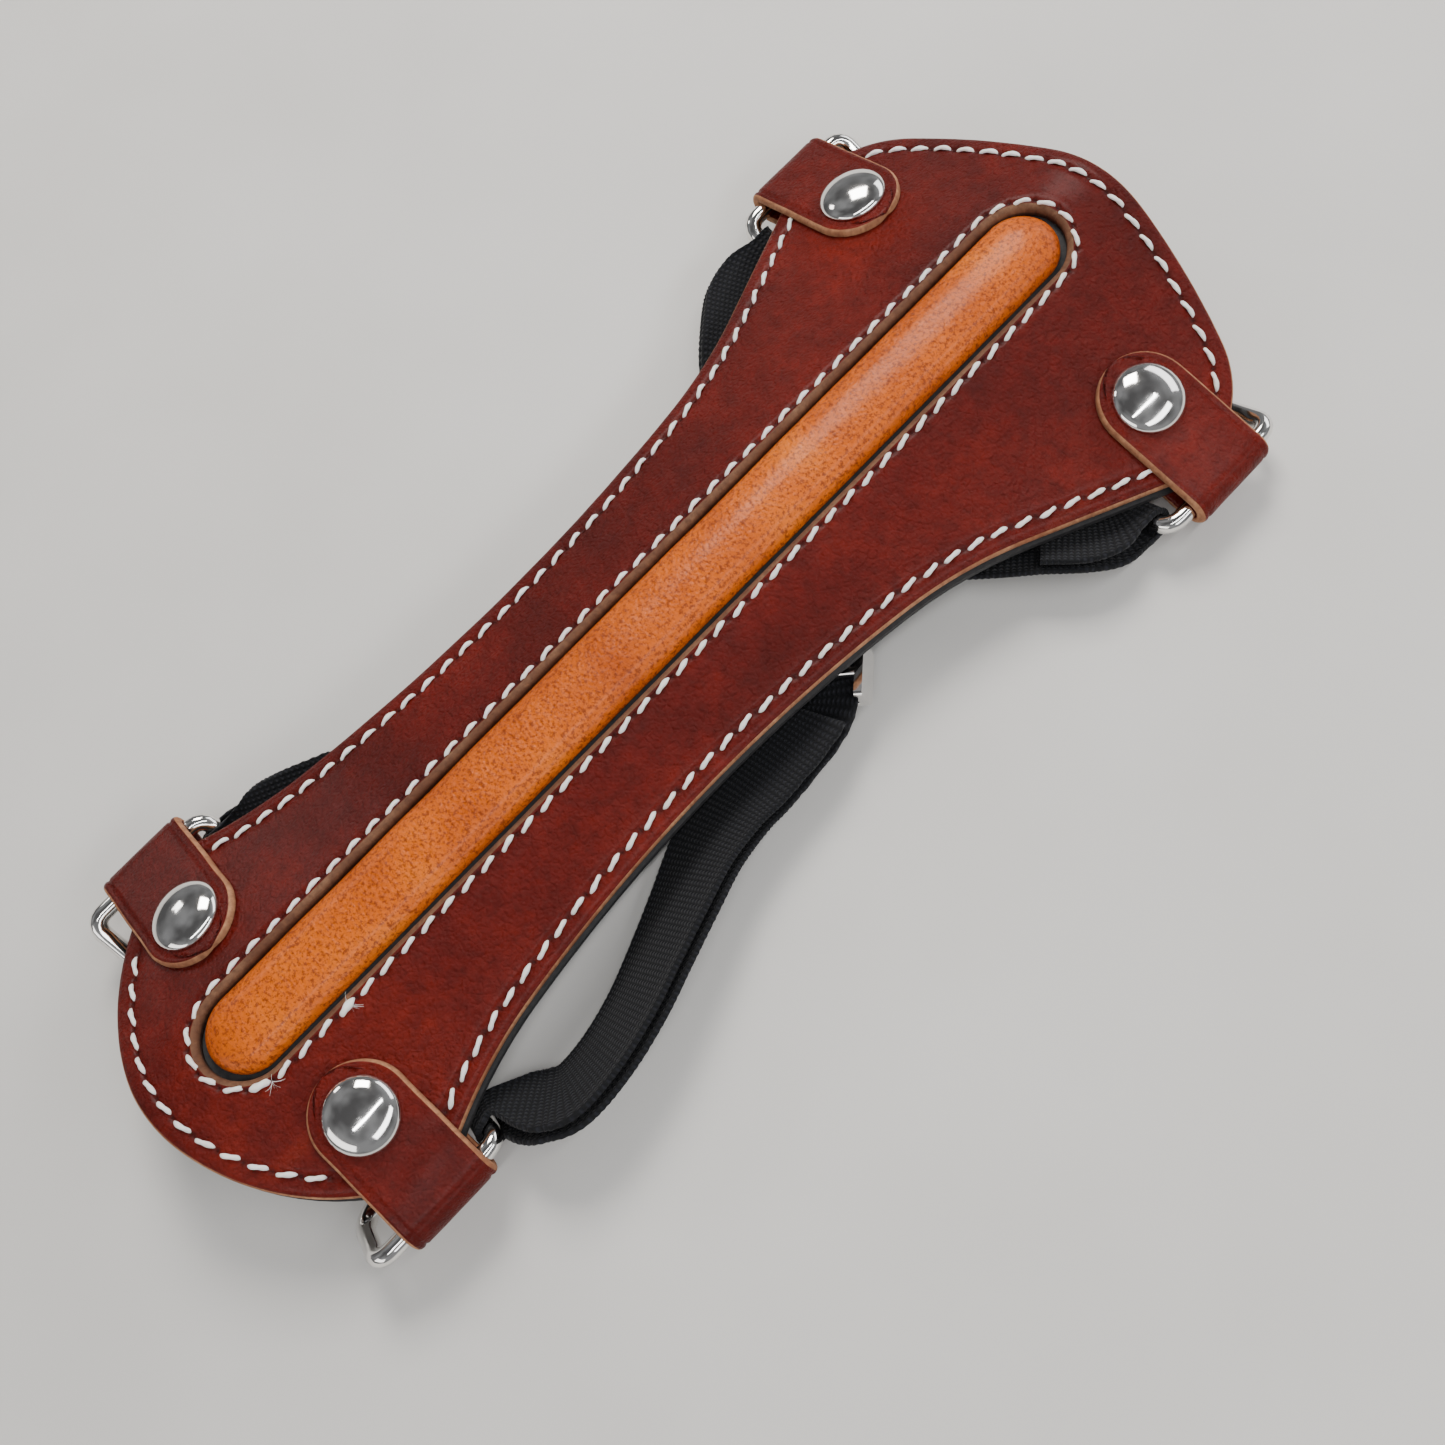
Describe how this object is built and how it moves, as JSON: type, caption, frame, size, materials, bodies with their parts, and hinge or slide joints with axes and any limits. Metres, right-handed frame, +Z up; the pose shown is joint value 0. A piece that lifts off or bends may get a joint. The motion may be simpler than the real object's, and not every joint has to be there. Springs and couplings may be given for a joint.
{
  "type": "archery arm guard",
  "caption": "Hourglass leather forearm guard with a raised rib, riveted ring tabs and elastic straps.",
  "frame": {"origin": "under the middle of the guard, on the surface it rests on", "axes": "+Z up away from the resting surface, +Y along the guard towards its wide elbow end, +X to the right seen from above with the elbow end up"},
  "size_m": [0.102, 0.214, 0.0214],
  "materials": {
    "oxblood_leather": "waxed",
    "tan_leather": "fine grain",
    "black_lining": "matt",
    "white_thread": "waxed thread",
    "polished_metal": "mirror",
    "black_webbing": "ribbed elastic",
    "rib_filler": "foam"
  },
  "bodies": {
    "guard": {"top_panel": "oxblood_leather", "lining": "black_lining", "rib_cover": "tan_leather", "rib_core": "rib_filler", "edge_stitching": "white_thread", "slot_stitching": "white_thread", "wrist_strap": "black_webbing", "elbow_strap": "black_webbing", "tab_wrist_right": "oxblood_leather", "cap_wrist_right": "polished_metal", "post_wrist_right": "polished_metal", "tab_wrist_left": "oxblood_leather", "cap_wrist_left": "polished_metal", "post_wrist_left": "polished_metal", "tab_elbow_right": "oxblood_leather", "cap_elbow_right": "polished_metal", "post_elbow_right": "polished_metal", "tab_elbow_left": "oxblood_leather", "cap_elbow_left": "polished_metal", "post_elbow_left": "polished_metal"},
    "ring_wrist_right": {"ring_wrist_right": "polished_metal"},
    "ring_wrist_left": {"ring_wrist_left": "polished_metal"},
    "wrist_slider": {"wrist_slider": "polished_metal"},
    "ring_elbow_right": {"ring_elbow_right": "polished_metal"},
    "ring_elbow_left": {"ring_elbow_left": "polished_metal"},
    "elbow_slider": {"elbow_slider": "polished_metal"}
  },
  "joints": [
    {"name": "ring_wrist_right_hinge", "type": "hinge", "parent": "guard", "child": "ring_wrist_right", "pos_m": [0.03765, -0.0852, 0.00967], "axis": [0, -1, 0], "range_deg": [0, 60], "deforming": ["wrist_strap"]},
    {"name": "ring_wrist_left_hinge", "type": "hinge", "parent": "guard", "child": "ring_wrist_left", "pos_m": [-0.03765, -0.0852, 0.00967], "axis": [0, 1, 0], "range_deg": [0, 60]},
    {"name": "ring_elbow_right_hinge", "type": "hinge", "parent": "guard", "child": "ring_elbow_right", "pos_m": [0.0478, 0.0804, 0.00695], "axis": [0, -1, 0], "range_deg": [0, 60], "deforming": ["elbow_strap"]},
    {"name": "ring_elbow_left_hinge", "type": "hinge", "parent": "guard", "child": "ring_elbow_left", "pos_m": [-0.0478, 0.0804, 0.00695], "axis": [0, 1, 0], "range_deg": [0, 60]},
    {"name": "wrist_slider_slide", "type": "slide", "parent": "guard", "child": "wrist_slider", "axis": [-0.6467, 0.7628, 0], "range_m": [-0.004, 0.004]},
    {"name": "elbow_slider_slide", "type": "slide", "parent": "guard", "child": "elbow_slider", "axis": [1, 0, 0], "range_m": [-0.006, 0.006]}
  ]
}
